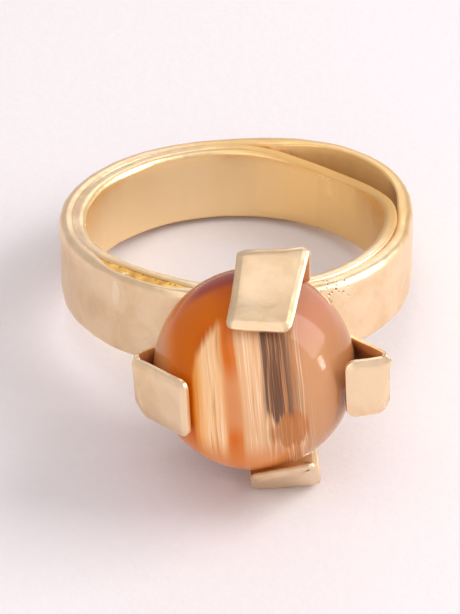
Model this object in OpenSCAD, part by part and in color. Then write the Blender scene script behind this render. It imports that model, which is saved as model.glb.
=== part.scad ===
// Cocktail ring: a two-layer hand-made band with a high-domed cabochon
// held by the four bent ends of two crossed sheet straps.
// The finger hole runs along Z, the stone faces -Y, and the origin is
// the centre of the finger hole.

/* [Finger band] */
// Diameter of the finger hole
finger_d = 17.3; // [15:0.1:21]
// Thickness of the inner band's sheet
liner_t = 0.8; // [0.6:0.05:1.2]
// Width of the inner band along the finger
band_w = 4.6; // [3.8:0.1:7]
// Gap between the inner band's two ends
liner_gap = 0.3; // [0.2:0.05:0.5]
// Direction of the inner band's joint, measured round from the right
liner_joint_a = 52; // [44:1:60]
// How far the solder stays below the upper rim in the inner band's joint
liner_joint_dip = 0.9; // [0.4:0.1:1.5]

/* [Outer band] */
// Thickness of the outer band's sheet
sleeve_t = 0.85; // [0.7:0.05:1.1]
// Width of the outer band on its wide left side
sleeve_w_left = 4.95; // [4.2:0.05:7]
// Width of the outer band on its narrow right side
sleeve_w_right = 4.3; // [3.6:0.05:6.5]
// How far the outer band stands away from the inner one at the back right
bulge_h = 1.4; // [0.8:0.05:1.7]
// Direction of the middle of that bulge
bulge_a = 52; // [44:1:60]
// Half the angle that the bulge spans
bulge_half = 48; // [38:1:50]
// Gap in the outer band's hidden joint, behind the stone
sleeve_gap = 0.25; // [0.2:0.05:0.4]

/* [Solder] */
// Deepest part of the crescent between the bands at the front left
crescent_t = 0.38; // [0.25:0.01:0.45]
// Direction of the middle of the crescent
crescent_a = 233; // [222:1:236]
// Half the angle that the crescent spans
crescent_half = 21; // [18:1:26]
// How far the crescent's solder stays below the upper rim
crescent_dip = 0.2; // [0.1:0.05:1]
// Reach of the solder under the side strap, left and right of its middle
fillet_reach = 3.9; // [2.5:0.1:4.5]
// Where the solder under the side strap begins, from its middle
fillet_start = 1; // [0.8:0.1:1.5]

/* [Stone] */
// Diameter of the cabochon
stone_d = 11; // [9:0.1:13]
// Distance from the centre of the dome back to the flat underside
stone_back = 2.4; // [2:0.05:3]
// How far the stone sits right of the finger hole's middle
stone_x = 0.35; // [-0.5:0.05:1]
// How far the stone sits below the band's middle
stone_drop = 0.3; // [0:0.05:0.6]
// Clearance between the stone's side and the metal
stone_gap = 0.02; // [0.01:0.01:0.1]

/* [Straps] */
// Thickness of both straps' sheet
strap_t = 0.5; // [0.4:0.05:0.7]
// Width of the strap that runs along the finger
upright_w = 3.9; // [3:0.1:4.5]
// Width of the strap that runs across the finger
cross_w = 3.4; // [3:0.1:4.5]
// Width of the cross strap's narrow neck, under and beside the stone
neck_w = 1.5; // [1.2:0.1:2.2]
// How far the neck lies below the middle of the cross strap's claws
neck_drop = 0.9; // [0.4:0.05:0.9]
// Turn of both straps about the stone's axis
strap_turn = 2.3; // [0:0.1:4]
// How far the upright strap lies right of the stone's axis
upright_shift = 1.35; // [0:0.05:1.5]
// How far the cross strap lies above the stone's axis
cross_shift = 0.35; // [0:0.05:1]
// Radius of the claws' free corners
claw_corner = 0.6; // [0.3:0.05:1]
// How much thicker the sheet is where it is folded
fold_swell = 0.06; // [0.03:0.01:0.1]

/* [Upper claw] */
// Distance that the upper fold stands out past the stone's side
top_out = 1.35; // [0.6:0.05:1.6]
// Height of the upper fold above the widest part of the stone
top_rise = 0.1; // [0:0.05:0.8]
// Length of the upper claw from fold to tip
top_len = 4.4; // [3.4:0.1:5]
// Turn of the upper claw to the left
top_skew = 11; // [0:1:15]

/* [Lower claw] */
// Distance that the lower fold stands out past the stone's side
bottom_out = 0.75; // [0.6:0.05:1.6]
// Height of the lower fold above the widest part of the stone
bottom_rise = 1.3; // [0.8:0.05:2]
// Length of the lower claw from fold to tip
bottom_len = 4.6; // [3.4:0.1:5]

/* [Left claw] */
// Distance that the left fold stands out past the stone's side
left_out = 0.65; // [0.6:0.05:1.6]
// Height of the left fold above the widest part of the stone
left_rise = 1.5; // [0.8:0.05:2]
// Length of the left claw from fold to tip
left_len = 4; // [2.4:0.1:4.6]

/* [Right claw] */
// Distance that the right fold stands out past the stone's side
right_out = 1.1; // [0.6:0.05:1.6]
// Height of the right fold above the widest part of the stone
right_rise = 3.1; // [2:0.05:3.4]
// Slope of the right claw, whose tip meets the stone's side
right_slope = 8; // [0:1:15]

/* [Hidden] */

$fn = 96;
gold = "#d9bd8b";
solder_gold = "#d8ab4e";
amber = "#c9823c";
cut = 1; // how far a cutting shape runs past what it cuts

finger_r = finger_d / 2;
liner_r = finger_r + liner_t;
sleeve_r = liner_r + sleeve_t;
sleeve_w_max = max(sleeve_w_left, sleeve_w_right);

// A circle that passes h outside a circle of radius r, and crosses it at +-half degrees:
// its centre's offset, worked out from the cosine rule.
function lobe_offset(r, h, half) = ((r + h) * (r + h) - r * r) / (2 * (r + h - r * cos(half)));
bulge_c = lobe_offset(sleeve_r, bulge_h, bulge_half);
bulge_r = sleeve_r + bulge_h - bulge_c;
crescent_c = lobe_offset(liner_r, crescent_t, crescent_half);
crescent_r = liner_r + crescent_t - crescent_c;

stone_r = stone_d / 2;
// Centreline of a strap where it runs up the stone's side
wrap_r = stone_r + stone_gap + strap_t / 2;
bend_d = strap_t + fold_swell;
stone_y = -(sleeve_r + 2 * strap_t + stone_back);
upright_base = -stone_back - strap_t / 2;
cross_base = upright_base - strap_t;
neck_z = cross_shift - neck_drop - stone_drop;

// Seen along the strap's width, a fold is joined to the stone by two straight lines that
// just touch it, half a sheet away: the claw in front and the strap's side behind.
// Both angles are measured from the stone's axis to where the line touches.
function fold_angle(out, rise) = atan2(wrap_r + out, rise);
function touch_angle(out, rise) = acos(wrap_r / norm([wrap_r + out, rise]));
function claw_slope(out, rise) = fold_angle(out, rise) - touch_angle(out, rise);
function side_slope(out, rise) = fold_angle(out, rise) + touch_angle(out, rise);
// Length at which a claw of a given slope meets the stone with its lower tip
function claw_reach(out, rise, slope) =
    let (
        away = [cos(slope), -sin(slope)],
        under = [wrap_r + out, rise] - strap_t / 2 * [sin(slope), cos(slope)],
        along = under * away
    ) along - sqrt(along * along - under * under + pow(stone_r + stone_gap, 2));
// Where the strap's side comes down to the sheet under the stone
function side_foot(out, rise, base) =
    wrap_r + out + (rise - base) * cos(side_slope(out, rise)) / sin(side_slope(out, rise));

// Places its children on the stone's centre, with x to the right, y along the finger
// and z out through the dome.
module on_stone() {
    translate([stone_x, stone_y, -stone_drop]) rotate([90, 0, 0]) children();
}

// A lobe's disc: a circle moved out along a direction
module lobe(centre, r, a) {
    rotate(a) translate([centre, 0]) circle(r);
}

// A flat bar between two points, rounded and slightly swollen where it bends at its end
module bar(from, to) {
    run = to - from;
    translate(to) circle(d = bend_d);
    translate(from) rotate(atan2(run.y, run.x)) translate([0, -strap_t / 2])
        square([norm(run), strap_t]);
}

// A claw's outline: a plate along -x with round outer corners, leaning to one side
function corner_arc(centre, from) =
    [for (step = [0:6]) centre + claw_corner * [cos(from - 15 * step), sin(from - 15 * step)]];
function claw_outline(len, width) = concat(
    [[0, -width / 2]],
    corner_arc([claw_corner - len, claw_corner - width / 2], 270),
    corner_arc([claw_corner - len, width / 2 - claw_corner], 180),
    [[0, width / 2]]
);
function leaned(points, skew) = [for (p = points) [p.x, p.y - p.x * tan(skew)]];

// The free end of a strap, from its fold to its tip
module claw(out, rise, slope, len, width, skew) {
    translate([wrap_r + out, 0, rise]) rotate([0, slope, 0])
        linear_extrude(strap_t, center = true) polygon(leaned(claw_outline(len, width), skew));
}

// Half of a strap without its claw: along the stone's back and up its side to the fold
module strap_back(base, out, rise, width) {
    foot = side_foot(out, rise, base);
    rotate([90, 0, 0]) linear_extrude(width, center = true) {
        bar([-strap_t, base], [foot, base]);
        bar([foot, base], [wrap_r + out, rise]);
    }
}

// The cross strap's outline seen from the side of the stone: a narrow neck
// that widens to the claw's width at the fold
module neck_outline(base, out, rise) {
    low = base - strap_t;
    high = rise + bend_d;
    flare = (high - base) / (rise - base);
    rotate([90, 0, 90]) translate([0, 0, -strap_t - cut]) linear_extrude(wrap_r + out + strap_t + 2 * cut)
        polygon([
            [-neck_drop - neck_w / 2, low], [-neck_drop + neck_w / 2, low], [-neck_drop + neck_w / 2, base],
            [-neck_drop + neck_w / 2 + flare * (cross_w / 2 + neck_drop - neck_w / 2), high],
            [-neck_drop - neck_w / 2 - flare * (cross_w / 2 - neck_drop - neck_w / 2), high],
            [-neck_drop - neck_w / 2, base]
        ]);
}

// Half of the cross strap
module cross_half(out, rise, slope, len) {
    intersection() {
        strap_back(cross_base, out, rise, cross_w);
        neck_outline(cross_base, out, rise);
    }
    claw(out, rise, slope, len, cross_w, 0);
}

// Half of the upright strap
module upright_half(out, rise, len, skew) {
    strap_back(upright_base, out, rise, upright_w);
    claw(out, rise, claw_slope(out, rise), len, upright_w, skew);
}

// The wedge between the outer band's two tapering edges, seen along Y
module sleeve_edges() {
    reach = sleeve_r + bulge_h + cut;
    rotate([90, 0, 0]) linear_extrude(2 * reach, center = true) polygon([
        [-reach, -sleeve_w_left / 2], [reach, -sleeve_w_right / 2],
        [reach, sleeve_w_right / 2], [-reach, sleeve_w_left / 2]
    ]);
}

// A radial slot through a band's wall
module joint_slot(a, gap, r_in, r_out) {
    rotate([0, 0, a]) translate([r_in, -gap / 2, -sleeve_w_max])
        cube([r_out - r_in, gap, 2 * sleeve_w_max]);
}

module inner_band() {
    color(gold) difference() {
        cylinder(r = liner_r, h = band_w, center = true);
        cylinder(r = finger_r, h = band_w + cut, center = true);
        joint_slot(liner_joint_a, liner_gap, finger_r - cut, liner_r + cut);
    }
}

// Fills the inner band's joint, but for a notch at the upper rim
module inner_band_solder() {
    color(solder_gold) intersection() {
        difference() {
            translate([0, 0, -band_w / 2]) cylinder(r = liner_r, h = band_w - liner_joint_dip);
            cylinder(r = finger_r, h = band_w + cut, center = true);
        }
        joint_slot(liner_joint_a, liner_gap, finger_r - cut, liner_r + cut);
    }
}

module outer_band_outline() {
    difference() {
        union() {
            circle(sleeve_r);
            lobe(bulge_c, bulge_r, bulge_a);
        }
        circle(liner_r);
        lobe(bulge_c, bulge_r - sleeve_t, bulge_a);
        lobe(crescent_c, crescent_r, crescent_a);
    }
}

module outer_band() {
    color(gold) difference() {
        intersection() {
            linear_extrude(sleeve_w_max + cut, center = true) outer_band_outline();
            sleeve_edges();
        }
        joint_slot(-90, sleeve_gap, liner_r - sleeve_t, sleeve_r + cut);
    }
}

// Fills the outer band's joint behind the stone
module outer_band_solder() {
    color(solder_gold) intersection() {
        linear_extrude(band_w, center = true) difference() {
            circle(sleeve_r);
            circle(liner_r);
        }
        joint_slot(-90, sleeve_gap, liner_r - sleeve_t, sleeve_r + cut);
    }
}

// Solder in the narrow crescent where the two bands part at the front left
module crescent_solder() {
    color(solder_gold) translate([0, 0, -band_w / 2])
        linear_extrude(band_w - crescent_dip) difference() {
            lobe(crescent_c, crescent_r, crescent_a);
            circle(liner_r);
        }
}

// Two fillets that fill the space between the round band and the flat neck of the cross strap
module setting_solder() {
    depth = sleeve_r - sqrt(sleeve_r * sleeve_r - fillet_reach * fillet_reach);
    fillet_w = neck_w * 0.8;
    color(solder_gold) difference() {
        for (side = [-1, 1])
            translate([side * (fillet_start + fillet_reach) / 2, -sleeve_r + depth / 2, neck_z])
                cube([fillet_reach - fillet_start, depth, fillet_w], center = true);
        cylinder(r = sleeve_r, h = band_w, center = true, $fn = 360);
    }
}

module cross_strap() {
    color(gold) on_stone() translate([upright_shift, cross_shift, 0]) rotate([0, 0, strap_turn])
        translate([-upright_shift, 0, 0]) {
            cross_half(right_out, right_rise, right_slope, claw_reach(right_out, right_rise, right_slope));
            mirror([1, 0, 0]) cross_half(left_out, left_rise, claw_slope(left_out, left_rise), left_len);
        }
}

module upright_strap() {
    color(gold) on_stone() translate([upright_shift, 0, 0]) rotate([0, 0, strap_turn + 90]) {
        upright_half(top_out, top_rise, top_len, top_skew);
        mirror([1, 0, 0]) upright_half(bottom_out, bottom_rise, bottom_len, 0);
    }
}

// A ball cut flat underneath
module stone() {
    color(amber) on_stone() difference() {
        sphere(stone_r);
        translate([-stone_d, -stone_d, -stone_back - stone_d]) cube([2 * stone_d, 2 * stone_d, stone_d]);
    }
}

inner_band();
inner_band_solder();
outer_band();
outer_band_solder();
crescent_solder();
setting_solder();
cross_strap();
upright_strap();
stone();
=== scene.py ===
"""Cocktail ring: a hand-made two-layer gold band with a domed agate held by four folded claws."""

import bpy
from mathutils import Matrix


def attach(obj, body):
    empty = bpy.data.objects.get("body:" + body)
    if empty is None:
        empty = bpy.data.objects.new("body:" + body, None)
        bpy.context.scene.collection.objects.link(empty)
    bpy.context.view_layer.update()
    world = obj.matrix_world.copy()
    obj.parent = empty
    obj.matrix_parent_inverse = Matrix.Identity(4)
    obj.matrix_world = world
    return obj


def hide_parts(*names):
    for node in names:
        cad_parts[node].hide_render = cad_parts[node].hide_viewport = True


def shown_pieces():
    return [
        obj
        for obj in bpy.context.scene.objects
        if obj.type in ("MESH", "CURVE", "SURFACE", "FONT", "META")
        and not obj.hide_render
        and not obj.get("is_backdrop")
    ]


bl_info = {
    "name": "Cocktail Ring Workshop",
    "version": (1, 0, 0),
    "blender": (4, 5, 0),
    "location": "3D View > Sidebar > Ring",
    "description": "Builds a two-layer gold ring with a banded agate in folded claws",
    "category": "Object",
}

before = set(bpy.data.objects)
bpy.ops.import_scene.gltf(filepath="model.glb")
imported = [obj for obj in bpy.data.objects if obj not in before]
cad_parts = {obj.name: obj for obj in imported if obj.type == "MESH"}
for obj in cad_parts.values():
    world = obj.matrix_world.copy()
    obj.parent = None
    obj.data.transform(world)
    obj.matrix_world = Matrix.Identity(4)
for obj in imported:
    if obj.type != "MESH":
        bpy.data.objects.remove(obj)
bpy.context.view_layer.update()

from math import acos, atan2, cos, hypot, pi, radians, sin, tan

import bmesh
import bpy
from mathutils import Matrix, Vector, noise

MM = 0.001


# ---- sizes and colours ----


def length_value(name, description, millimetres):
    default = millimetres * MM
    return bpy.props.FloatProperty(name=name, description=description, default=default, unit="LENGTH")


def angle_value(name, description, degrees):
    default = radians(degrees)
    return bpy.props.FloatProperty(name=name, description=description, default=default, subtype="ANGLE")


def colour_value(name, description, default):
    return bpy.props.FloatVectorProperty(name=name, description=description, default=default, subtype="COLOR")


def place_value(name, description, millimetres):
    default = tuple(c * MM for c in millimetres)
    return bpy.props.FloatVectorProperty(name=name, description=description, default=default, unit="LENGTH")


class RingBandSizes(bpy.types.PropertyGroup):
    finger_radius: length_value("Finger radius", "Radius of the finger hole", 8.65)
    inner_sheet: length_value("Inner sheet", "Thickness of the inner band", 0.8)
    outer_sheet: length_value("Outer sheet", "Thickness of the outer band", 0.85)
    inner_width: length_value("Inner width", "Width of the inner band along the finger", 4.6)
    left_width: length_value("Left width", "Width of the outer band on its left side", 4.95)
    right_width: length_value("Right width", "Width of the outer band on its right side", 4.3)
    pocket_direction: angle_value("Pocket direction", "Where the outer band stands furthest away", 48)
    pocket_height: length_value("Pocket height", "How far the outer band stands away there", 1.42)
    inner_joint: angle_value("Inner joint", "Direction of the inner band's joint", 52)
    inner_joint_gap: length_value("Inner joint gap", "Gap between the inner band's ends", 0.3)
    outer_joint_gap: length_value("Outer joint gap", "Gap between the outer band's ends", 0.25)
    crescent_direction: angle_value("Crescent direction", "Where the bands part at the front left", 233)
    crescent_depth: length_value("Crescent depth", "Widest gap between the bands there", 0.42)
    facet_turn: angle_value("Facet width", "Average width of a hammered facet", 11)
    seed: bpy.props.IntProperty(
        name="Hammer seed", description="Changes where the hammer marks fall", default=4, min=0,
    )


class RingStrapSizes(bpy.types.PropertyGroup):
    sheet: length_value("Sheet", "Thickness of both straps", 0.5)
    upright_width: length_value("Upright width", "Width of the strap along the finger", 3.9)
    cross_width: length_value("Cross width", "Width of the strap across the finger", 3.4)
    turn: angle_value("Turn", "Turn of both straps about the stone", 2.3)
    upright_shift: length_value("Upright shift", "How far right of the stone the upright strap lies", 1.35)
    neck_width: length_value("Neck width", "Width of the cross strap under and beside the stone", 1.5)
    neck_drop: length_value("Neck drop", "How far the neck lies below the cross strap's middle", 0.9)
    cross_shift: length_value("Cross shift", "How far the cross strap lies above the stone's middle", 0.35)
    corner: length_value("Claw corner", "Radius of the claws' free corners", 0.5)
    bevel: length_value("Filed edge", "Width of the filed slope along the straps' edges", 0.4)
    fold: length_value("Fold", "Length of sheet that each fold takes up on either side", 0.36)


class RingStoneSizes(bpy.types.PropertyGroup):
    radius: length_value("Radius", "Radius of the dome", 5.5)
    back: length_value("Back", "Distance from the dome's centre to its flat underside", 2.4)
    centre: place_value("Centre", "Centre of the dome", (0.35, -13.7, -0.3))


class RingColours(bpy.types.PropertyGroup):
    gold: colour_value("Gold", "Colour of the satin gold sheet", (0.92, 0.705, 0.465))
    deep_gold: colour_value("Deep gold", "Colour of the gold in dull patches", (0.83, 0.595, 0.355))
    # painted reflection: deeper, more saturated gold for the ring's inside, standing in for light bounced
    # between its walls
    inner_reflection_gold: colour_value("Inner gold", "Colour of the gold inside the ring", (0.95, 0.72, 0.41))
    # painted shade: darker, browner gold laid on the rims at the back and on the right side's inside and
    # rims; it is not a colour of the metal
    shaded_gold: colour_value(
        "Shaded gold", "Colour of the unpolished gold round the pocket", (0.86, 0.57, 0.23),
    )
    # painted shade: darker brown gold for the inner band's rim beside the pocket
    shaded_lip_gold: colour_value(
        "Lip gold", "Colour of the inner band's rim beside the pocket", (0.72, 0.46, 0.18),
    )
    # painted light: brighter, deeper yellow gold for the outer band's inner wall in the pocket, standing in
    # for floor light bouncing into it
    pocket_bounce_gold: colour_value(
        "Pocket gold", "Colour of the rough gold inside the pocket", (0.98, 0.73, 0.36),
    )
    solder: colour_value("Solder", "Colour of the gold solder", (0.93, 0.59, 0.15))
    paper: colour_value("Paper", "Colour of the floor", (0.785, 0.75, 0.77))


class RingStageSizes(bpy.types.PropertyGroup):
    camera_place: place_value("Camera place", "Where the camera stands", (-6.53, -141.63, 73.15))
    camera_turn: angle_value(
        "Camera turn",
        "Direction that the camera looks in, measured round from +Y", -2.504,
    )
    camera_drop: angle_value("Camera drop", "How far down the camera looks", 28.524)
    camera_roll: angle_value("Camera roll", "Turn of the camera about its own axis", -0.577)
    lens: bpy.props.FloatProperty(
        name="Lens", description="Focal length in millimetres", default=159.48, min=20,
    )


# ---- modelling helpers ----


def begin(operator, name, **place):
    """Adds a primitive with nothing else selected, names it and returns it."""
    if bpy.context.mode != "OBJECT":
        bpy.ops.object.mode_set(mode="OBJECT")
    bpy.ops.object.select_all(action="DESELECT")
    operator(**place)
    piece = bpy.context.object
    piece.name = piece.data.name = name
    return piece


def edit(piece):
    """Opens a piece in edit mode with nothing selected."""
    bpy.context.view_layer.objects.active = piece
    bpy.ops.object.mode_set(mode="EDIT")
    bpy.ops.mesh.select_mode(type="VERT")
    bpy.ops.mesh.select_all(action="DESELECT")


def pick(piece, kind, test):
    """In edit mode, selects only the verts, edges or faces that pass a test."""
    bpy.ops.mesh.select_mode(type={"verts": "VERT", "edges": "EDGE", "faces": "FACE"}[kind])
    bpy.ops.mesh.select_all(action="DESELECT")
    shape = bmesh.from_edit_mesh(piece.data)
    for item in getattr(shape, kind):
        if test(item):
            item.select_set(True)
    shape.select_flush_mode()
    bmesh.update_edit_mesh(piece.data)


def close(piece, merge=0.002 * MM):
    """Merges doubles, turns every face outwards and leaves edit mode."""
    bpy.ops.mesh.select_all(action="SELECT")
    bpy.ops.mesh.remove_doubles(threshold=merge)
    bpy.ops.mesh.normals_make_consistent(inside=False)
    bpy.ops.object.mode_set(mode="OBJECT")


def choose(piece):
    """Selects only this piece, and makes it the active one."""
    bpy.ops.object.select_all(action="DESELECT")
    piece.select_set(True)
    bpy.context.view_layer.objects.active = piece


def settle(piece):
    """Moves a piece's place from its object into its mesh."""
    choose(piece)
    bpy.ops.object.transform_apply(location=True, rotation=True, scale=True)


def apply(piece, kind, **values):
    """Adds a modifier, sets it and applies it."""
    bpy.context.view_layer.objects.active = piece
    modifier = piece.modifiers.new(kind.title(), kind)
    for key, value in values.items():
        setattr(modifier, key, value)
    bpy.ops.object.modifier_apply(modifier=modifier.name)


def smooth(piece, angle=32):
    """Shades a piece smooth but for its sharper edges."""
    choose(piece)
    bpy.ops.object.shade_smooth_by_angle(angle=radians(angle))


def finish_piece(piece, material, slot, *nodes):
    """Gives a piece its finish and ties it to the frame."""
    piece.data.materials.clear()
    piece.data.materials.append(material)
    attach(piece, "root")
    if nodes:
        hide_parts(*nodes)


def wander(place, size, seed=0.0):
    """A smooth random number from -1 to 1 that changes over about one size."""
    return noise.noise(Vector(place) / size + Vector((seed, 3.7 * seed, 1.9)))


def swell(a, middle, half):
    """Rises from 0 to 1 and falls back to 0 over twice half, seen as an angle."""
    off = (a - middle + pi) % (2 * pi) - pi
    return cos(off / half * pi / 2) ** 2 if abs(off) < half else 0.0


# ---- material helpers ----


def fill(tree, node, inputs):
    """Links a node's inputs to other sockets, or sets them to plain values."""
    for key, value in inputs.items():
        if isinstance(value, bpy.types.NodeSocket):
            tree.links.new(value, node.inputs[key])
        else:
            node.inputs[key].default_value = value


def put(tree, kind, inputs=None, **settings):
    """Adds a node, sets it up and fills its inputs."""
    node = tree.nodes.new(kind)
    for key, value in settings.items():
        setattr(node, key, value)
    fill(tree, node, inputs or {})
    return node


def calc(tree, operation, a, b=0.0, clamp=False):
    return put(tree, "ShaderNodeMath", {0: a, 1: b}, operation=operation, use_clamp=clamp).outputs[0]


def product(tree, first, *others):
    """Multiplies two or more values."""
    for other in others:
        first = calc(tree, "MULTIPLY", first, other)
    return first


def total(tree, first, *others):
    """Adds two or more values."""
    for other in others:
        first = calc(tree, "ADD", first, other)
    return first


def blend(tree, factor, a, b):
    """Mixes two colours, each a socket or a plain red, green and blue."""
    a = (*a, 1) if isinstance(a, tuple) and len(a) == 3 else a
    b = (*b, 1) if isinstance(b, tuple) and len(b) == 3 else b
    return put(tree, "ShaderNodeMix", {0: factor, 6: a, 7: b}, data_type="RGBA").outputs[2]


def ease(tree, value, low, high, to_low=0.0, to_high=1.0):
    """Goes smoothly from one value at low to another at high, which may be the smaller of the two."""
    return put(
        tree, "ShaderNodeMapRange", {0: value, 1: low, 2: high, 3: to_low, 4: to_high},
        interpolation_type="SMOOTHSTEP",
    ).outputs[0]


def between(tree, value, rise, full, fade, end):
    """0 up to rise, 1 from full to fade, and 0 again from end on."""
    return product(tree, ease(tree, value, rise, full), ease(tree, value, end, fade))


def grain(tree, where, scale, detail=2.0, rough=0.5, warp=0.0):
    """Soft noise from 0 to 1."""
    return put(
        tree, "ShaderNodeTexNoise",
        {"Vector": where, "Scale": scale, "Detail": detail, "Roughness": rough, "Distortion": warp},
    ).outputs[0]


def stretch(tree, where, scale, location=(0, 0, 0)):
    return put(
        tree, "ShaderNodeMapping", {"Vector": where, "Scale": scale, "Location": location},
    ).outputs[0]


def emboss(tree, shader, height, distance, strength=1.0):
    """Bumps a surface by a height."""
    bump = put(tree, "ShaderNodeBump", {"Height": height, "Distance": distance, "Strength": strength})
    tree.links.new(bump.outputs["Normal"], shader.inputs["Normal"])


def new_group(name, inputs, outputs):
    """An empty shader node group with its sockets, and its two end nodes."""
    group = bpy.data.node_groups.new(name, "ShaderNodeTree")
    for side, sockets in (("INPUT", inputs), ("OUTPUT", outputs)):
        for label, kind in sockets.items():
            group.interface.new_socket(label, in_out=side, socket_type="NodeSocket" + kind)
    return group, put(group, "NodeGroupInput"), put(group, "NodeGroupOutput")


def rgba(colour):
    return (*tuple(colour), 1.0)


def worked_metal():
    """Patchy colour, satin streaks, worn edges and fine dents, for every gold surface."""
    name = "worked_metal"
    if name in bpy.data.node_groups:
        return bpy.data.node_groups[name]
    shares = {"Roughness": "Float", "Roughness Spread": "Float", "Dents": "Float", "Streaks": "Float"}
    group, start, end = new_group(
        name, {"Place": "Vector", "Colour": "Color", "Dull": "Color", **shares},
        {"Colour": "Color", "Roughness": "Float", "Height": "Float"},
    )
    place = start.outputs["Place"]
    patches = grain(group, place, 420.0, 4.0, 0.6, 0.4)
    specks = grain(group, place, 5200.0, 3.0, 0.65)
    files = grain(group, stretch(group, place, (1.0, 1.0, 0.10)), 2600.0, 3.0, 0.6)
    edges = ease(group, put(group, "ShaderNodeNewGeometry").outputs["Pointiness"], 0.55, 0.64)
    dull = blend(group, ease(group, patches, 0.36, 0.70), start.outputs["Colour"], start.outputs["Dull"])
    stain = ease(group, grain(group, place, 700.0, 3.0, 0.6, 0.3), 0.60, 0.76, 0.0, 0.18)
    stained = blend(group, stain, dull, (0.52, 0.41, 0.28))
    bright = blend(group, product(group, edges, 0.5), stained, (0.98, 0.84, 0.62))
    speckled = blend(group, ease(group, specks, 0.62, 0.80, 0.0, 0.25), bright, (0.45, 0.30, 0.14))
    spread = product(group, calc(group, "SUBTRACT", files, 0.5), start.outputs["Roughness Spread"])
    rough = total(group, start.outputs["Roughness"], product(group, spread, 2.0))
    rough = calc(group, "SUBTRACT", rough, product(group, edges, 0.08), clamp=True)
    dents = product(group, grain(group, place, 900.0, 2.0, 0.5), start.outputs["Dents"])
    lines = product(group, files, start.outputs["Streaks"], 0.14)
    dust = product(group, specks, 0.05)
    height = total(group, dents, lines, dust)
    fill(group, end, {"Colour": speckled, "Roughness": rough, "Height": height})
    return group


def new_material(name):
    """A material with only its Principled node and output, and the object's coordinates."""
    material = bpy.data.materials.new(name)
    material.use_nodes = True
    tree = material.node_tree
    shader = next(n for n in tree.nodes if n.type == "BSDF_PRINCIPLED")
    return material, tree, shader, put(tree, "ShaderNodeTexCoord").outputs["Object"]


def gold_metal(name, colour, dull, values):
    """A metallic material with its worked metal node, not yet linked to its shader."""
    material, tree, shader, place = new_material(name)
    shader.inputs["Metallic"].default_value = 1.0
    inputs = {"Place": place, "Colour": rgba(colour), "Dull": rgba(dull), **values}
    return material, tree, shader, place, put(tree, "ShaderNodeGroup", inputs, node_tree=worked_metal())


def gold_sheet(name, rough, dents, streaks, painted_shade=1.0, band=False):
    """Satin gold sheet, darkened all over as painted shade by a factor below 1; for the band it also carries
    painted reflection, shade and light inside it and round its pocket. Made once for each name.
    """
    if name in bpy.data.materials:
        return bpy.data.materials[name]
    colours = bpy.context.scene.ring_colours
    # painted shade: a factor below 1 darkens this sheet's gold all over
    gold, deep = [[painted_shade * c for c in tone] for tone in (colours.gold, colours.deep_gold)]
    values = {"Roughness": rough, "Roughness Spread": 0.12, "Dents": dents, "Streaks": streaks}
    material, tree, shader, place, metal = gold_metal(name, gold, deep, values)
    colour, height, roughness = metal.outputs["Colour"], metal.outputs["Height"], metal.outputs["Roughness"]
    if band:
        tone = put(tree, "ShaderNodeGroup", {"Place": place, "Colour": colour}, node_tree=band_tones())
        colour = tone.outputs["Colour"]
        height = calc(tree, "SUBTRACT", height, tone.outputs["Pits"])
        roughness = total(tree, roughness, tone.outputs["Rough"])
    fill(tree, shader, {"Base Color": colour, "Roughness": roughness})
    emboss(tree, shader, height, 0.03 * MM)
    return material


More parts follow.
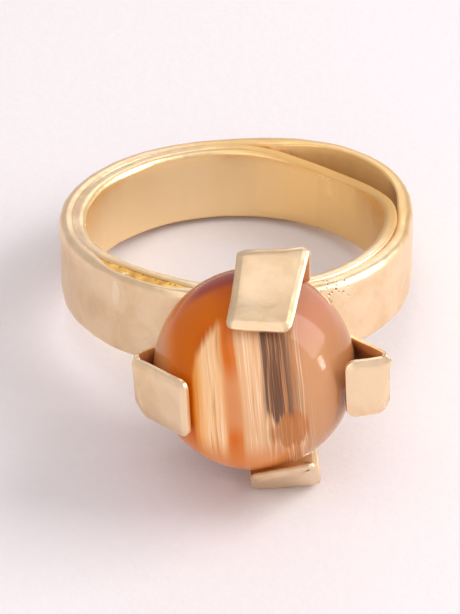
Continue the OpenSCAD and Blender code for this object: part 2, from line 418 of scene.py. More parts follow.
def band_tones():
    """Painted reflection inside the ring, painted shade on the rims at the back, on the right side and on the
    lip beside the pocket, painted light in the pocket, and pitted solder crumbs by the stone.
    """
    name = "band_tones"
    if name in bpy.data.node_groups:
        return bpy.data.node_groups[name]
    sizes, colours = bpy.context.scene.ring_band, bpy.context.scene.ring_colours
    group, start, end = new_group(
        name, {"Place": "Vector", "Colour": "Color"},
        {"Colour": "Color", "Pits": "Float", "Rough": "Float"},
    )
    place = start.outputs["Place"]
    parts = put(group, "ShaderNodeSeparateXYZ", {0: place}).outputs
    squares = [product(group, part, part) for part in parts[:2]]
    flat = calc(group, "SQRT", total(group, *squares))
    hole = sizes.finger_radius
    inside = ease(group, flat, hole + 0.42 * MM, hole + 0.16 * MM)

    def towards(direction, low, high):
        """0 up to one distance from the axis in a direction, and 1 from another on."""
        along = total(
            group, product(group, parts[0], cos(direction)),
            product(group, parts[1], sin(direction)),
        )
        return ease(group, along, low, high)

    geometry = put(group, "ShaderNodeNewGeometry").outputs
    normal = put(group, "ShaderNodeSeparateXYZ", {0: geometry["Normal"]}).outputs
    top = ease(group, normal[2], 0.2, 0.7)
    shaded_back_way, shaded_right_way = radians(68), radians(32)
    # painted shade: upward faces of the rims at the back are darkened, towards the inner gold and then
    # towards the shaded gold
    back = product(group, towards(shaded_back_way, 6.5 * MM, 9.0 * MM), top)
    # painted reflection: the ring's inside takes the deeper inner gold, which stands in for light bounced
    # between the walls
    deep = calc(group, "MAXIMUM", inside, product(group, back, 0.9))
    colour = blend(group, deep, start.outputs["Colour"], rgba(colours.inner_reflection_gold))
    colour = blend(group, product(group, back, 0.65), colour, rgba(colours.shaded_gold))
    # painted shade: the inside and rims on the right side are darkened towards the shaded gold
    right = product(group, towards(shaded_right_way, 3.0 * MM, 8.5 * MM), calc(group, "MAXIMUM", inside, top))
    hollow = calc(group, "SUBTRACT", 1.0, ease(group, flat, 10.6 * MM, 11.0 * MM))
    colour = blend(group, product(group, right, hollow, 0.8), colour, rgba(colours.shaded_gold))
    # painted shade: the inner band's rim beside the pocket is darkened to a brown gold
    shaded_lip = product(group, right, top, ease(group, flat, hole + 1.1 * MM, hole + 0.85 * MM))
    colour = blend(group, product(group, shaded_lip, 0.85), colour, rgba(colours.shaded_lip_gold))
    # painted light: the outer band's inner wall in the pocket gets a brighter, deeper yellow gold standing in
    # for floor light bouncing into it; it is also made rougher
    facing = total(group, product(group, parts[0], normal[0]), product(group, parts[1], normal[1]))
    turned_in = ease(group, facing, -3 * MM, -7 * MM)
    past_inner = ease(group, flat, hole + 0.5 * MM, hole + 0.9 * MM)
    pocket = product(group, turned_in, past_inner, towards(sizes.pocket_direction, 8.3 * MM, 10.2 * MM))
    colour = blend(group, pocket, colour, rgba(colours.pocket_bounce_gold))
    crumbs, tarnish = (5.3 * MM, -9.0 * MM, 1.9 * MM), (0.30, 0.22, 0.10)
    away = put(group, "ShaderNodeVectorMath", {0: place, 1: crumbs}, operation="DISTANCE").outputs["Value"]
    near = ease(group, away, 1.5 * MM, 0.4 * MM)
    cells = put(group, "ShaderNodeTexVoronoi", {"Vector": place, "Scale": 3300.0}).outputs["Distance"]
    pits = product(group, near, ease(group, cells, 0.34, 0.14))
    colour = blend(group, product(group, pits, 0.8), colour, tarnish)
    rough = product(group, calc(group, "MAXIMUM", pocket, shaded_lip), 0.3)
    fill(group, end, {"Colour": colour, "Pits": product(group, pits, 1.5), "Rough": rough})
    return group


def gold_solder():
    """Rough, deep yellow solder with shiny runs and dark pits."""
    name = "solder_runs"
    if name in bpy.data.materials:
        return bpy.data.materials[name]
    values = {"Roughness": 0.42, "Roughness Spread": 0.2, "Dents": 0.9, "Streaks": 0.0}
    dull, tarnish = (0.72, 0.40, 0.09), (0.16, 0.08, 0.03)
    solder = bpy.context.scene.ring_colours.solder
    material, tree, shader, place, metal = gold_metal(name, solder, dull, values)
    cells = put(tree, "ShaderNodeTexVoronoi", {"Vector": place, "Scale": 2600.0}).outputs["Distance"]
    pit = ease(tree, cells, 0.28, 0.12)
    colour = blend(tree, product(tree, pit, 0.6), metal.outputs["Colour"], tarnish)
    fill(tree, shader, {"Base Color": colour, "Roughness": metal.outputs["Roughness"]})
    emboss(tree, shader, calc(tree, "SUBTRACT", metal.outputs["Height"], pit), 0.04 * MM)
    return material


def agate_layers(tree, position):
    """The agate's layers from left to right: amber, cream, red, cream, tan and caramel."""
    stops = (
        (0.00, (0.60, 0.25, 0.10)), (0.05, (0.66, 0.28, 0.10)), (0.10, (0.70, 0.20, 0.02)),
        (0.14, (0.66, 0.14, 0.002)), (0.18, (0.60, 0.12, 0.001)), (0.205, (0.84, 0.32, 0.05)),
        (0.24, (0.96, 0.54, 0.23)), (0.29, (0.96, 0.60, 0.31)), (0.328, (0.92, 0.52, 0.24)),
        (0.350, (0.70, 0.18, 0.02)), (0.372, (0.67, 0.15, 0.015)), (0.396, (0.70, 0.20, 0.03)),
        (0.420, (0.80, 0.46, 0.23)), (0.48, (0.82, 0.50, 0.27)), (0.52, (0.72, 0.42, 0.22)),
        (0.55, (0.60, 0.31, 0.15)), (0.66, (0.52, 0.25, 0.12)), (0.75, (0.50, 0.25, 0.12)),
        (0.80, (0.49, 0.245, 0.115)), (0.87, (0.44, 0.205, 0.09)), (1.00, (0.37, 0.145, 0.05)),
    )
    ramp = put(tree, "ShaderNodeValToRGB", {0: position})
    points = ramp.color_ramp.elements
    for point, (where, tone) in zip((points[0], points[1]), (stops[0], stops[-1])):
        point.position, point.color = where, rgba(tone)
    for where, tone in stops[1:-1]:
        points.new(where).color = rgba(tone)
    return ramp.outputs["Color"]


def oval(tree, across, up, centre, size):
    """0 at the centre of an upright oval on the dome's front, and 1 along its edge."""
    squares = []
    for part, middle, half in zip((across, up), centre, size):
        off = calc(tree, "DIVIDE", calc(tree, "SUBTRACT", part, middle), half)
        squares.append(product(tree, off, off))
    return calc(tree, "SQRT", total(tree, *squares))


def agate():
    """Polished agate: upright layers from amber through cream and smoke to caramel."""
    name = "banded_agate"
    if name in bpy.data.materials:
        return bpy.data.materials[name]
    sizes = bpy.context.scene.ring_stone
    material, tree, shader, place = new_material(name)
    unit = 1 / sizes.radius
    local = stretch(tree, place, (unit, unit, unit), tuple(-c * unit for c in sizes.centre))
    across, depth, up = put(tree, "ShaderNodeSeparateXYZ", {0: local}).outputs
    # the layers lean a little and waver
    slow = calc(tree, "SUBTRACT", grain(tree, stretch(tree, local, (0.9, 0.7, 0.4)), 1.6, 2.0), 0.5)
    upright = total(tree, across, product(tree, up, 0.065))
    upright = total(tree, upright, product(tree, slow, 0.1))
    stretched = {0: product(tree, upright, 34.0), 1: product(tree, up, 0.9), 2: product(tree, depth, 0.6)}
    strands = put(tree, "ShaderNodeCombineXYZ", stretched).outputs[0]
    hair = grain(tree, strands, 1.0, 3.0, 0.55)
    thin = grain(tree, stretch(tree, strands, (2.4, 1.3, 1.0)), 1.0, 2.0, 0.5)
    fine = calc(tree, "SUBTRACT", hair, 0.5)
    layer = total(tree, upright, product(tree, fine, 0.05))
    position = product(tree, total(tree, layer, 1.0), 0.5)
    colour = agate_layers(tree, position)
    # strands of light and dark in the pale layers, but not in the red one between them
    red = between(tree, position, 0.332, 0.348, 0.398, 0.412)
    pale = product(tree, calc(tree, "SUBTRACT", 1.0, red), between(tree, position, 0.19, 0.25, 0.69, 0.78))
    light, shadow = ease(tree, thin, 0.5, 0.66, 0.0, 0.6), ease(tree, hair, 0.47, 0.3, 0.0, 0.65)
    colour = blend(tree, product(tree, pale, light), colour, (0.98, 0.76, 0.5))
    colour = blend(tree, product(tree, pale, shadow), colour, (0.58, 0.22, 0.05))
    # the red layer is paler across the middle
    faded = product(tree, red, between(tree, up, -0.25, 0.0, 0.3, 0.55), 0.55)
    colour = blend(tree, faded, colour, (0.78, 0.4, 0.18))
    # the amber above an arc at the upper left
    arc = total(tree, oval(tree, across, up, (-0.1, 0.1), (0.57, 0.77)), product(tree, fine, 0.1))
    left, above = between(tree, across, -0.92, -0.72, -0.22, -0.08), ease(tree, up, 0.0, 0.35)
    amber = product(tree, ease(tree, arc, 0.96, 1.06), left, above)
    honey = blend(tree, ease(tree, slow, -0.12, 0.14), (0.60, 0.13, 0.001), (0.50, 0.085, 0.001))
    colour = blend(tree, amber, colour, honey)
    # the bundle of smoke-brown strands, with ragged lower ends
    ends = total(tree, up, product(tree, fine, 0.55))
    bundle = between(tree, position, 0.522, 0.542, 0.635, 0.745)
    smoke = product(tree, bundle, ease(tree, ends, -0.04, 0.08))
    strand = total(tree, product(tree, hair, 0.45), product(tree, thin, 0.55))
    dark = ease(tree, strand, 0.4, 0.56, 0.25, 0.94)
    colour = blend(tree, product(tree, smoke, dark), colour, (0.12, 0.05, 0.03))
    # a clear brown patch under them, and orange towards the lower rim, partly the stone's own colour and
    # partly painted glow of light passing through the stone
    spot = oval(tree, across, up, (0.31, -0.16), (0.21, 0.24))
    patch = ease(tree, total(tree, spot, fine), 1.05, 0.75)
    colour = blend(tree, product(tree, patch, 0.8), colour, (0.42, 0.145, 0.035))
    low = product(tree, ease(tree, up, -0.2, -0.62), ease(tree, across, 0.55, 0.1))
    colour = blend(tree, product(tree, low, 0.85), colour, (0.7, 0.22, 0.035))
    # dark red behind the upper left edge, and a painted reflection: soft pink at the upper right
    edge = product(tree, ease(tree, depth, -0.13, 0.03), between(tree, across, -0.75, -0.5, -0.2, 0.0))
    colour = blend(tree, product(tree, edge, 0.9), colour, (0.3, 0.03, 0.015))
    pink_reflection = product(tree, ease(tree, up, 0.45, 0.8), ease(tree, across, 0.28, 0.45))
    colour = blend(tree, product(tree, pink_reflection, 0.8), colour, (0.45, 0.18, 0.11))
    smudge = grain(tree, local, 3.0, 3.0, 0.6)
    fill(tree, shader, {
        "Base Color": colour, "Roughness": ease(tree, smudge, 0.3, 0.8, 0.08, 0.17), "IOR": 1.54,
        "Specular IOR Level": 0.16, "Subsurface Weight": 0.12, "Subsurface Radius": (1.0, 0.45, 0.2),
        "Subsurface Scale": 0.8 * MM,
    })
    emboss(tree, shader, grain(tree, local, 2.4, 1.0), 0.05 * MM, 0.35)
    return material


def paper():
    """Pale paper with a faint tooth."""
    material, tree, shader, place = new_material("paper")
    tooth = grain(tree, place, 1600.0, 4.0, 0.7)
    cloud = grain(tree, place, 30.0, 2.0)
    base, grey, white = rgba(bpy.context.scene.ring_colours.paper), (0.77, 0.73, 0.755), (0.84, 0.81, 0.82)
    clouded = blend(tree, ease(tree, cloud, 0.3, 0.7, 0.0, 0.25), base, grey)
    toothed = blend(tree, ease(tree, tooth, 0.35, 0.7, 0.0, 0.2), clouded, white)
    fill(tree, shader, {"Base Color": toothed, "Roughness": 0.85})
    emboss(tree, shader, tooth, 0.05 * MM, 0.6)
    return material


# ---- band ----


def outer_radius(a):
    """Radius of the outer band's outside: round, with a broad pocket at the back right."""
    s = bpy.context.scene.ring_band
    base = s.finger_radius + s.inner_sheet + s.outer_sheet
    pocket = s.pocket_height * swell(a, s.pocket_direction, radians(60))
    back = 0.28 * MM * swell(a, radians(104), radians(66))
    flattened = 0.10 * MM * swell(a, radians(200), radians(50))
    return base + pocket + back - flattened


def inner_push(a):
    """How far the inner band is pressed in at the front left, where the bands part."""
    deepest = 0.33 * MM
    return deepest * swell(a, bpy.context.scene.ring_band.crescent_direction, radians(40))


def parting(a):
    """1 along the middle of the crescent between the bands, and 0 past its ends."""
    return min(1.0, 1.7 * swell(a, bpy.context.scene.ring_band.crescent_direction, radians(24)))


def liner_radius(a):
    """Radius of the inner band's outside, which is thinned along the crescent."""
    s = bpy.context.scene.ring_band
    thinned = 0.22 * MM
    return s.finger_radius + s.inner_sheet - inner_push(a) - thinned * parting(a)


def crescent_radius(a):
    """Radius of the crescent's outside."""
    s = bpy.context.scene.ring_band
    return s.finger_radius + s.inner_sheet + s.crescent_depth * parting(a)


def cavity_radius(a):
    """Radius of the outer band's inside."""
    s = bpy.context.scene.ring_band
    liner = s.finger_radius + s.inner_sheet
    hollow = max(0.0, outer_radius(a) - s.outer_sheet - liner)
    window = 1 - (1 - swell(a, radians(35), radians(46))) ** 3
    return max(liner + hollow * window, crescent_radius(a))


def flush(a):
    """1 where the bands' rims are filed flush, at the back and left, and 0 where a groove parts them."""
    return min(1.0, 5 * swell(a, radians(140), radians(80)))


def rim_wave(a):
    """How far the bands' rims wander from level. A wider turn makes more waves."""
    height, turn = 0.05 * MM, 4.5
    return height * wander((turn * cos(a), turn * sin(a), 0), 1.0, 6)


def half_width(x):
    """Half the outer band's width, which narrows from left to right."""
    s = bpy.context.scene.ring_band
    share = (x / (s.finger_radius + s.inner_sheet + s.outer_sheet) + 1) / 2
    return (s.left_width + (s.right_width - s.left_width) * share) / 2


def facet_edges(turn, seed):
    """Directions of the edges between a band's hammered facets, which are all unlike in width."""
    edges, a, spread, narrowest = [], 0.0, 0.45, 0.6
    while a < 2 * pi - narrowest * turn:
        edges.append(a)
        a += turn * (1 + spread * wander((len(edges) * 1.73, seed, 0), 1.0))
    return edges + [2 * pi]


def facet_dip(a, edges, seed, height):
    """Distance of a flat hammered facet below the round wall, in radii, with its own small tilt."""
    a %= 2 * pi
    index = max(i for i, e in enumerate(edges) if e <= a + 1e-9)
    index = min(index, len(edges) - 2)
    low, high = edges[index], edges[index + 1]
    middle, half = (low + high) / 2, (high - low) / 2
    sag = 1 - cos(half) / cos(a - middle)
    tilt = wander((index * 2.31, seed, 4.1), 1.0)
    flatness, steepness = 0.4, 0.0012
    return sag * flatness + steepness * tilt * (1 + 2 * height)


def spin_section(name, r_in, r_out, low, high, corners, start, sweep, steps, rows=8):
    """Spins a round-cornered section about the finger's axis and closes its ends.

    corners holds the radii of the inner lower, outer lower, outer upper and inner upper corner.
    """
    middle = Vector(((r_in + r_out) / 2, 0, (low + high) / 2))
    piece = begin(
        bpy.ops.mesh.primitive_plane_add, name, size=1, location=middle, rotation=(pi / 2, 0, 0),
    )
    piece.scale = (r_out - r_in, high - low, 1)
    settle(piece)
    edit(piece)
    for x, z, radius in zip((r_in, r_out, r_out, r_in), (low, low, high, high), corners):
        pick(piece, "verts", lambda v: abs(v.co.x - x) < 1e-6 and abs(v.co.z - z) < 1e-6)
        bpy.ops.mesh.bevel(offset=radius, offset_type="OFFSET", segments=4, affect="VERTICES")
    bpy.ops.mesh.select_all(action="SELECT")
    bpy.ops.mesh.delete(type="ONLY_FACE")
    long = 0.5 * (high - low)
    pick(piece, "edges", lambda e: e.calc_length() > long)
    bpy.ops.mesh.subdivide(number_cuts=rows)
    short = 0.3 * (r_out - r_in)
    pick(piece, "edges", lambda e: abs(e.verts[0].co.x - e.verts[1].co.x) > short)
    bpy.ops.mesh.subdivide(number_cuts=2)
    bpy.ops.mesh.select_all(action="SELECT")
    bpy.ops.mesh.spin(steps=steps, angle=sweep, center=(0, 0, 0), axis=(0, 0, 1))
    pick(piece, "edges", lambda e: e.is_boundary)
    bpy.ops.mesh.fill_holes(sides=0)
    bpy.ops.object.mode_set(mode="OBJECT")
    # a part turn runs one way or the other, and starts where the section stood or ends there
    forwards = sweep > pi or sum(v.co.y for v in piece.data.vertices) > 0
    piece.data.transform(Matrix.Rotation(start if forwards else start + sweep, 4, "Z"))
    edit(piece)
    close(piece)
    return piece


class RING_OT_inner_band(bpy.types.Operator):
    """Spins the inner band, presses it in at the front left and hammers its inside"""

    bl_idname = "ring.inner_band"
    bl_label = "Inner band"

    def execute(self, context):
        s = context.scene.ring_band
        r_in, r_out, half = s.finger_radius, s.finger_radius + s.inner_sheet, s.inner_width / 2
        corners = (0.22 * MM, 0.1 * MM, 0.16 * MM, 0.36 * MM)
        rim_depth, sink_depth, seam_height, dent_depth = 0.18 * MM, 0.85 * MM, 0.04 * MM, 0.05 * MM
        piece = spin_section(
            "inner_band_shell", r_in, r_out, -half, half, corners, s.inner_joint, 2 * pi, 320,
        )
        edges = facet_edges(s.facet_turn * 1.5, s.seed + 11)
        for v in piece.data.vertices:
            r, a = hypot(v.co.x, v.co.y), atan2(v.co.y, v.co.x)
            inside = (r_out - r) / (r_out - r_in)
            seam = swell(a, s.inner_joint, s.inner_joint_gap / r_in)
            dent = dent_depth * wander((v.co.x, v.co.y, v.co.z * 0.6), 3.2 * MM, 2)
            dent -= r * facet_dip(a, edges, s.seed, v.co.z / half) * 0.5
            if inside < 0.3 and v.co.z > 0:
                r += (r_out - r) * flush(a)
                v.co.z += (half - v.co.z) * flush(a) if v.co.z > half - rim_depth else 0
            thinned = r_out - inner_push(a) - liner_radius(a)
            r += inside * (dent + seam_height * seam) - inner_push(a) - (1 - inside) * thinned
            high = max(0.0, v.co.z / half)
            rim = rim_wave(a) * abs(v.co.z) / half
            sunk = sink_depth * swell(a, radians(42), radians(46)) * high ** 3
            v.co = (r * cos(a), r * sin(a), v.co.z + (rim if v.co.z > 0 else -rim) - sunk)
        smooth(piece)
        gold = gold_sheet("gold_inner", 0.33, 1.0, 0.8, band=True)
        finish_piece(piece, gold, "gold_sheet", "inner_band", "inner_band_solder")
        return {"FINISHED"}


class RING_OT_outer_band(bpy.types.Operator):
    """Spins the outer band, pulls out its pocket, narrows its right side and hammers its facets"""

    bl_idname = "ring.outer_band"
    bl_label = "Outer band"

    def execute(self, context):
        s = context.scene.ring_band
        r_in = s.finger_radius + s.inner_sheet
        r_out = r_in + s.outer_sheet
        half = s.left_width / 2
        gap = s.outer_joint_gap / r_in
        joint = -pi / 2
        corners = (0.08 * MM, 0.3 * MM, 0.46 * MM, 0.12 * MM)
        rim_depth, shoulder_drop, dent_depth = 0.13 * MM, 0.22 * MM, 0.03 * MM
        piece = spin_section(
            "outer_band_shell", r_in, r_out, -half, half, corners, joint + gap / 2, 2 * pi - gap, 360,
        )
        edges = facet_edges(s.facet_turn, s.seed)
        for v in piece.data.vertices:
            r, a = hypot(v.co.x, v.co.y), atan2(v.co.y, v.co.x)
            outside = (r - r_in) / (r_out - r_in)
            hollow, wall = cavity_radius(a), outer_radius(a)
            in_sight = 1 - swell(a, joint, radians(24))
            dip = r * facet_dip(a, edges, s.seed, v.co.z / half) * in_sight
            dent = dent_depth * wander((v.co.x, v.co.y, v.co.z * 0.5), 1.6 * MM, 9) * in_sight
            r = hollow + outside * (wall - hollow - dip + dent)
            x, y = r * cos(a), r * sin(a)
            z = v.co.z
            if z > half - rim_depth and outside < 0.2:
                z += (half - z) * flush(a)
            z *= half_width(x) / half
            if v.co.z > 0:
                step = (half_width(x) - s.inner_width / 2) * (1 - outside)
                shoulder = shoulder_drop * max(0.0, outside - 0.45)
                z -= (step + shoulder) * flush(a) * (v.co.z / half) ** 4
            rim = rim_wave(a) * abs(z) / half
            v.co = (x, y, z + (rim if z > 0 else -rim))
        smooth(piece)
        finish_piece(piece, gold_sheet("gold_outer", 0.36, 1.1, 1.6, band=True), "gold_sheet", "outer_band")
        return {"FINISHED"}


class RING_OT_crescent_solder(bpy.types.Operator):
    """Fills the crescent between the bands with lumpy solder"""

    bl_idname = "ring.crescent_solder"
    bl_label = "Crescent solder"

    def execute(self, context):
        s = context.scene.ring_band
        reach, overlap, lump_height = radians(23), 0.02 * MM, 0.05 * MM
        r_in = s.finger_radius + s.inner_sheet
        half = s.inner_width / 2
        piece = spin_section(
            "crescent_fill", r_in, r_in + s.crescent_depth, -half, half - 0.12 * MM, (0.04 * MM,) * 4,
            s.crescent_direction - reach, 2 * reach, 90, rows=6,
        )
        for v in piece.data.vertices:
            r, a = hypot(v.co.x, v.co.y), atan2(v.co.y, v.co.x)
            across = (r - r_in) / s.crescent_depth
            low, high = liner_radius(a), crescent_radius(a) + overlap
            r = low + across * (high - low)
            lump = lump_height * wander((r * cos(a), r * sin(a), 0), 0.7 * MM, 5)
            v.co = (r * cos(a), r * sin(a), v.co.z + (lump if v.co.z > 0 else 0))
        smooth(piece, 50)
        finish_piece(piece, gold_solder(), "gold_solder", "crescent_solder")
        return {"FINISHED"}


class RING_OT_joint_solder(bpy.types.Operator):
    """Gives the solder in the outer band's joint and behind the straps its rough finish"""

    bl_idname = "ring.joint_solder"
    bl_label = "Joint solder"

    def execute(self, context):
        for name in ("outer_band_solder", "setting_solder"):
            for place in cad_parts[name].material_slots:
                place.material = gold_solder()
        return {"FINISHED"}


# ---- stone and straps ----


class RING_OT_stone(bpy.types.Operator):
    """Cuts a ball flat underneath, rounds its girdle and gives it its agate layers"""

    bl_idname = "ring.stone"
    bl_label = "Stone"

    def execute(self, context):
        s = context.scene.ring_stone
        centre, girdle, unevenness = Vector(s.centre), 0.25 * MM, 0.0022
        ball = bpy.ops.mesh.primitive_uv_sphere_add
        piece = begin(ball, "agate_dome", segments=128, ring_count=80, radius=s.radius, location=centre)
        settle(piece)
        edit(piece)
        bpy.ops.mesh.select_all(action="SELECT")
        underside = centre.y + s.back
        bpy.ops.mesh.bisect(plane_co=(0, underside, 0), plane_no=(0, 1, 0), use_fill=True, clear_outer=True)
        pick(piece, "edges", lambda e: all(abs(v.co.y - underside) < 1e-6 for v in e.verts))
        bpy.ops.mesh.bevel(offset=girdle, segments=4, affect="EDGES")
        close(piece)
        for v in piece.data.vertices:
            out = v.co - centre
            v.co = centre + out * (1 + unevenness * wander(out, 4 * MM, 3))
        smooth(piece, 40)
        finish_piece(piece, agate(), "agate", "stone")
        return {"FINISHED"}


def fold_line(out, rise):
    """Where a strap's fold lies, and the directions of its claw and its side, in a section along it."""
    stone, straps = bpy.context.scene.ring_stone, bpy.context.scene.ring_straps
    clearance = 0.02 * MM
    wrap = stone.radius + clearance + straps.sheet / 2
    fold = Vector((wrap + out, rise))
    turn = atan2(fold.x, fold.y)
    touch = acos(wrap / fold.length)
    claw, side = turn - touch, turn + touch
    return fold, Vector((-cos(claw), sin(claw))), Vector((cos(side), -sin(side)))


def half_strap(
    base, width, out, rise, length, slope=None, skew=0.0, dip=0.0, slant=0.0, taper=0.0,
    low_cut=0.0, high_flare=0.0, neck=None, waist=None,
):
    """Cross lines along half a strap, from its claw's tip to its foot under the stone.

    Each is a lower and an upper point: along the strap, across it, and out of the stone.
    slope is the claw's slope if it doesn't lie against the dome, dip bends its end towards the stone, slant
    shortens its upper corner, taper narrows it from below, low_cut and high_flare shape the fold's corners,
    neck gives the edges under the stone, and waist is one more line between the fold and the foot.
    """
    fold, claw, side = fold_line(out, rise)
    if slope is not None:
        claw = Vector((-cos(slope), sin(slope)))
    foot = fold + side * ((base - fold.y) / side.y)
    bent = Matrix.Rotation(dip, 2) @ claw
    lean, half, knee = tan(skew), width / 2, (length - slant) * 0.62
    neck = neck or (-half, half)

    def line(low, y_low, high, y_high):
        return Vector((low.x, y_low, low.y)), Vector((high.x, y_high, high.y))

    elbow = fold + claw * knee
    tip, short_tip = elbow + bent * (length - knee), elbow + bent * (length - knee - slant)
    rows = [
        line(tip, -half + lean * length + taper, short_tip, half + lean * length),
        line(elbow, -half + lean * knee + taper * knee / length, elbow, half + lean * knee),
    ]
    if low_cut or high_flare:
        low_start, high_start = fold + claw * low_cut * 1.3, fold + claw * high_flare
        rows.append(line(low_start, -half + low_cut * lean, high_start, half))
    rows.append(line(fold, -half + low_cut, fold, half + high_flare))
    if waist:
        rows.append(waist)
    rows.append(line(foot, neck[0], foot, neck[1]))
    return rows


def bend_strap(name, lines, folds, place):
    """Extrudes a strip through its cross lines, rounds its folds and corners, and gives it filed edges."""
    straps = bpy.context.scene.ring_straps
    edge_share, edge_round, waver = 0.48, 0.07 * MM, 0.035 * MM
    piece = begin(bpy.ops.mesh.primitive_plane_add, name, size=3 * MM)
    edit(piece)

    def seat(row):
        shape = bmesh.from_edit_mesh(piece.data)
        ends = sorted((v for v in shape.verts if v.select), key=lambda v: v.co.y)
        ends[0].co, ends[1].co = row
        bmesh.update_edit_mesh(piece.data)

    def at(v, points):
        return any((v.co - p).length < 1e-6 for p in points)

    pick(piece, "verts", lambda v: v.co.x > 0)
    seat(lines[0])
    pick(piece, "verts", lambda v: not at(v, lines[0]))
    seat(lines[1])
    for before, after in zip(lines[1:], lines[2:]):
        step = sum(after, Vector()) / 2 - sum(before, Vector()) / 2
        bpy.ops.mesh.extrude_region_move(TRANSFORM_OT_translate={"value": step})
        seat(after)
    bends = [lines[i] for i in folds]
    pick(piece, "edges", lambda e: any(at(e.verts[0], bend) and at(e.verts[1], bend) for bend in bends))
    bpy.ops.mesh.bevel(offset=straps.fold, segments=6, affect="EDGES")
    pick(piece, "verts", lambda v: at(v, (*lines[0], *lines[-1])))
    bpy.ops.mesh.bevel(offset=straps.corner, segments=5, affect="VERTICES")
    bpy.ops.mesh.select_all(action="SELECT")
    bpy.ops.mesh.normals_make_consistent(inside=False)
    bpy.ops.mesh.inset(thickness=straps.bevel, use_boundary=True, use_even_offset=True)
    shape = bmesh.from_edit_mesh(piece.data)
    outline = {v.index for e in shape.edges if e.is_boundary for v in e.verts}
    bpy.ops.object.mode_set(mode="OBJECT")
    body = piece.vertex_groups.new(name="body")
    body.add([v.index for v in piece.data.vertices if v.index not in outline], 1.0, "REPLACE")
    apply(
        piece, "SOLIDIFY", thickness=straps.sheet, offset=0.0, use_even_offset=True,
        vertex_group=body.name, thickness_vertex_group=edge_share,
    )
    apply(piece, "BEVEL", width=edge_round, segments=2, limit_method="ANGLE", angle_limit=radians(38))
    apply(piece, "SUBSURF", subdivision_type="SIMPLE", levels=2, render_levels=2)
    for v in piece.data.vertices:
        v.co += waver * Vector([wander(v.co, 1.3 * MM, seed) for seed in (2, 5, 8)])
    piece.data.transform(place)
    edit(piece)
    close(piece, 0.0005 * MM)
    smooth(piece, 38)
    return piece


def stone_frame():
    """Places x to the right, y along the finger and z out through the dome, on the stone's centre."""
    return Matrix.Translation(bpy.context.scene.ring_stone.centre) @ Matrix.Rotation(pi / 2, 4, "X")


def mirrored(lines):
    return [tuple(Vector((-p.x, p.y, p.z)) for p in line) for line in reversed(lines)]


class RING_OT_cross_strap(bpy.types.Operator):
    """Bends the strap whose ends are the left and right claws"""

    bl_idname = "ring.cross_strap"
    bl_label = "Cross strap"

    def execute(self, context):
        s = context.scene.ring_straps
        base = -context.scene.ring_stone.back - 1.5 * s.sheet
        neck = (-s.neck_drop - s.neck_width / 2, -s.neck_drop + s.neck_width / 2)
        right = half_strap(
            base, s.cross_width, out=1.15 * MM, rise=3.1 * MM, length=2.25 * MM,
            slope=radians(8), low_cut=0.4 * MM, high_flare=0.2 * MM, neck=neck,
        )
        left = half_strap(
            base, s.cross_width, out=0.62 * MM, rise=1.5 * MM, length=4.0 * MM,
            low_cut=0.5 * MM, high_flare=0.22 * MM, neck=neck,
        )
        lines = right + mirrored(left)
        folds = (len(right) - 2, len(right) - 1, len(right), len(right) + 1)
        shift = Matrix.Translation((s.upright_shift, s.cross_shift, 0))
        turn = Matrix.Rotation(s.turn, 4, "Z") @ Matrix.Translation((-s.upright_shift, 0, 0))
        piece = bend_strap("cross_claws", lines, folds, stone_frame() @ shift @ turn)
        finish_piece(piece, gold_sheet("gold_cross", 0.34, 1.0, 0.6), "gold_sheet", "cross_strap")
        return {"FINISHED"}


class RING_OT_upright_strap(bpy.types.Operator):
    """Bends the strap whose ends are the upper and lower claws"""

    bl_idname = "ring.upright_strap"
    bl_label = "Upright strap"

    def execute(self, context):
        s = context.scene.ring_straps
        base = -context.scene.ring_stone.back - 0.5 * s.sheet
        half = s.upright_width / 2
        waist = (Vector((4.75 * MM, -half, -1.1 * MM)), Vector((6.0 * MM, half, -1.2 * MM)))
        top = half_strap(
            base, s.upright_width, out=1.45 * MM, rise=0.1 * MM, length=4.9 * MM,
            skew=radians(11), dip=radians(-7), slant=0.45 * MM, taper=0.5 * MM, waist=waist,
        )
        bottom = half_strap(
            base, s.upright_width, out=0.82 * MM, rise=1.35 * MM, length=5.25 * MM,
            slant=2.1 * MM, taper=0.5 * MM,
        )
        lines = top + mirrored(bottom)
        folds = (len(top) - 3, len(top) - 1, len(top), len(top) + 1)
        shift, turn = Matrix.Translation((s.upright_shift, 0, 0)), Matrix.Rotation(s.turn + pi / 2, 4, "Z")
        piece = bend_strap("upright_claws", lines, folds, stone_frame() @ shift @ turn)
        # painted shade: the upright strap's gold is darkened to 91 percent of the cross strap's
        gold = gold_sheet("gold_upright", 0.34, 1.0, 0.6, painted_shade=0.91)
        finish_piece(piece, gold, "gold_sheet", "upright_strap")
        return {"FINISHED"}


# ---- stage ----


def floor_line():
    """Height and slope of the floor, which touches the lower claw in front and the band behind."""
    spots = [o.matrix_world @ v.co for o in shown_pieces() for v in o.data.vertices]
    claw_side, band_side = -12 * MM, 5 * MM
    front = min((p for p in spots if p.y < claw_side), key=lambda p: p.z)
    slope = min((p.z - front.z) / (p.y - front.y) for p in spots if p.y > band_side)
    return front, slope


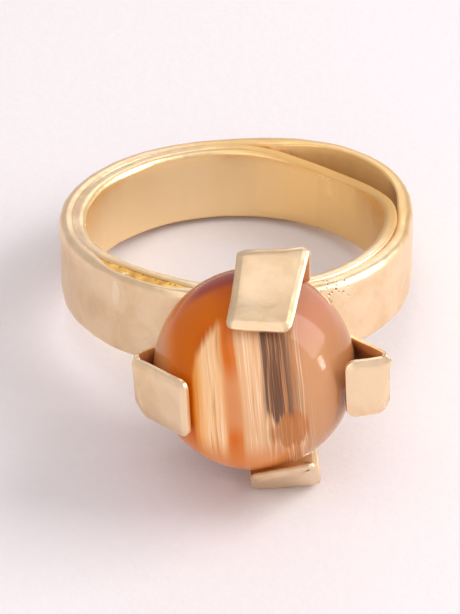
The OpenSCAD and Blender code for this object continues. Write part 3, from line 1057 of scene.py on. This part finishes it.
class RING_OT_stage(bpy.types.Operator):
    """Lays the pale floor under the ring, and sets the soft lights and the camera"""

    bl_idname = "ring.stage"
    bl_label = "Stage"

    def execute(self, context):
        s = context.scene.ring_stage
        front, slope = floor_line()
        edge, flat, reach, middle = 0.8, 20 * MM, 94 * MM, -2 * MM
        grid = bpy.ops.mesh.primitive_grid_add
        floor = begin(grid, "floor", x_subdivisions=60, y_subdivisions=120, size=2 * edge)

        def straight(y):
            """The sloping line under the ring."""
            return front.z + slope * (y - front.y)

        def curved(y):
            """Follows that line at the middle, and turns level well before and behind it."""
            off = max(-1.0, min(1.0, (y - middle) / reach))
            return straight(middle + reach * sin(off * pi / 2) / (pi / 2))

        drop = curved(0) - straight(0)
        for v in floor.data.vertices:
            x, y = [edge * (c / edge) ** 3 for c in v.co.xy]
            v.co = (x, y, curved(y) - drop if abs(y) > flat else straight(y))
        smooth(floor, 60)
        floor.data.materials.append(paper())
        floor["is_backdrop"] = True

        def lamp(name, place, size, power, colour, aim=(0, -8 * MM, 0)):
            data = bpy.data.lights.new(name, "AREA")
            data.shape, data.size, data.size_y = "RECTANGLE", size[0], size[1]
            data.energy, data.color = power, colour
            thing = bpy.data.objects.new(name, data)
            context.scene.collection.objects.link(thing)
            thing.location = place
            thing.rotation_euler = (Vector(aim) - Vector(place)).to_track_quat("-Z", "Y").to_euler()

        lamp("window", (0.38, -0.01, 0.26), (0.28, 0.28), 1.6, (1.0, 0.965, 0.95))
        lamp("low_window", (0.24, -0.05, 0.035), (0.03, 0.05), 0.11, (1.0, 0.97, 0.95))
        lamp("back_window", (0.10, 0.38, 0.31), (0.20, 0.20), 0.18, (1.0, 0.96, 0.94))
        lamp("overhead", (-0.06, -0.20, 0.42), (0.4, 0.4), 0.36, (1.0, 0.96, 0.97))
        lamp("front_fill", (-0.10, -0.38, 0.10), (0.3, 0.3), 0.3, (1.0, 0.94, 0.93))
        context.scene.world = world = bpy.data.worlds.new("room")
        world.use_nodes = True
        sky = world.node_tree.nodes["Background"]
        sky.inputs["Color"].default_value = (1.0, 0.955, 0.965, 1)
        sky.inputs["Strength"].default_value = 0.63

        data = bpy.data.cameras.new("camera")
        data.lens, data.sensor_width = s.lens, 36
        data.clip_start, data.clip_end = 0.01, 10
        camera = bpy.data.objects.new("camera", data)
        context.scene.collection.objects.link(camera)
        camera.location = s.camera_place
        turn, down = s.camera_turn, s.camera_drop
        ahead = Vector((-sin(turn) * cos(down), cos(turn) * cos(down), -sin(down)))
        camera.rotation_mode = "QUATERNION"
        camera.rotation_quaternion = ahead.to_track_quat("-Z", "Y") @ Matrix.Rotation(
            s.camera_roll, 4, "Z",
        ).to_quaternion()
        context.scene.camera = camera
        context.scene.view_settings.view_transform = "Standard"
        return {"FINISHED"}


# ---- panel and registration ----


STEPS = (
    RING_OT_inner_band, RING_OT_outer_band, RING_OT_crescent_solder, RING_OT_joint_solder,
    RING_OT_stone, RING_OT_cross_strap, RING_OT_upright_strap, RING_OT_stage,
)
GROUPS = (
    ("ring_band", RingBandSizes), ("ring_straps", RingStrapSizes), ("ring_stone", RingStoneSizes),
    ("ring_colours", RingColours), ("ring_stage", RingStageSizes),
)


class RING_PT_workshop(bpy.types.Panel):
    """Lists the ring's sizes and the steps that build it"""

    bl_idname = "RING_PT_workshop"
    bl_label = "Ring"
    bl_space_type = "VIEW_3D"
    bl_region_type = "UI"
    bl_category = "Ring"

    def draw(self, context):
        for name, group in GROUPS:
            box = self.layout.box()
            for key in group.__annotations__:
                box.prop(getattr(context.scene, name), key)
        for step in STEPS:
            self.layout.operator(step.bl_idname)


def register():
    for name, group in GROUPS:
        bpy.utils.register_class(group)
        setattr(bpy.types.Scene, name, bpy.props.PointerProperty(type=group))
    for kind in (*STEPS, RING_PT_workshop):
        bpy.utils.register_class(kind)


def unregister():
    for kind in (RING_PT_workshop, *reversed(STEPS)):
        bpy.utils.unregister_class(kind)
    for name, group in reversed(GROUPS):
        delattr(bpy.types.Scene, name)
        bpy.utils.unregister_class(group)


def main():
    register()
    bpy.ops.ring.inner_band()
    bpy.ops.ring.outer_band()
    bpy.ops.ring.crescent_solder()
    bpy.ops.ring.joint_solder()
    bpy.ops.ring.stone()
    bpy.ops.ring.cross_strap()
    bpy.ops.ring.upright_strap()
    bpy.ops.ring.stage()


if __name__ == "__main__":
    main()
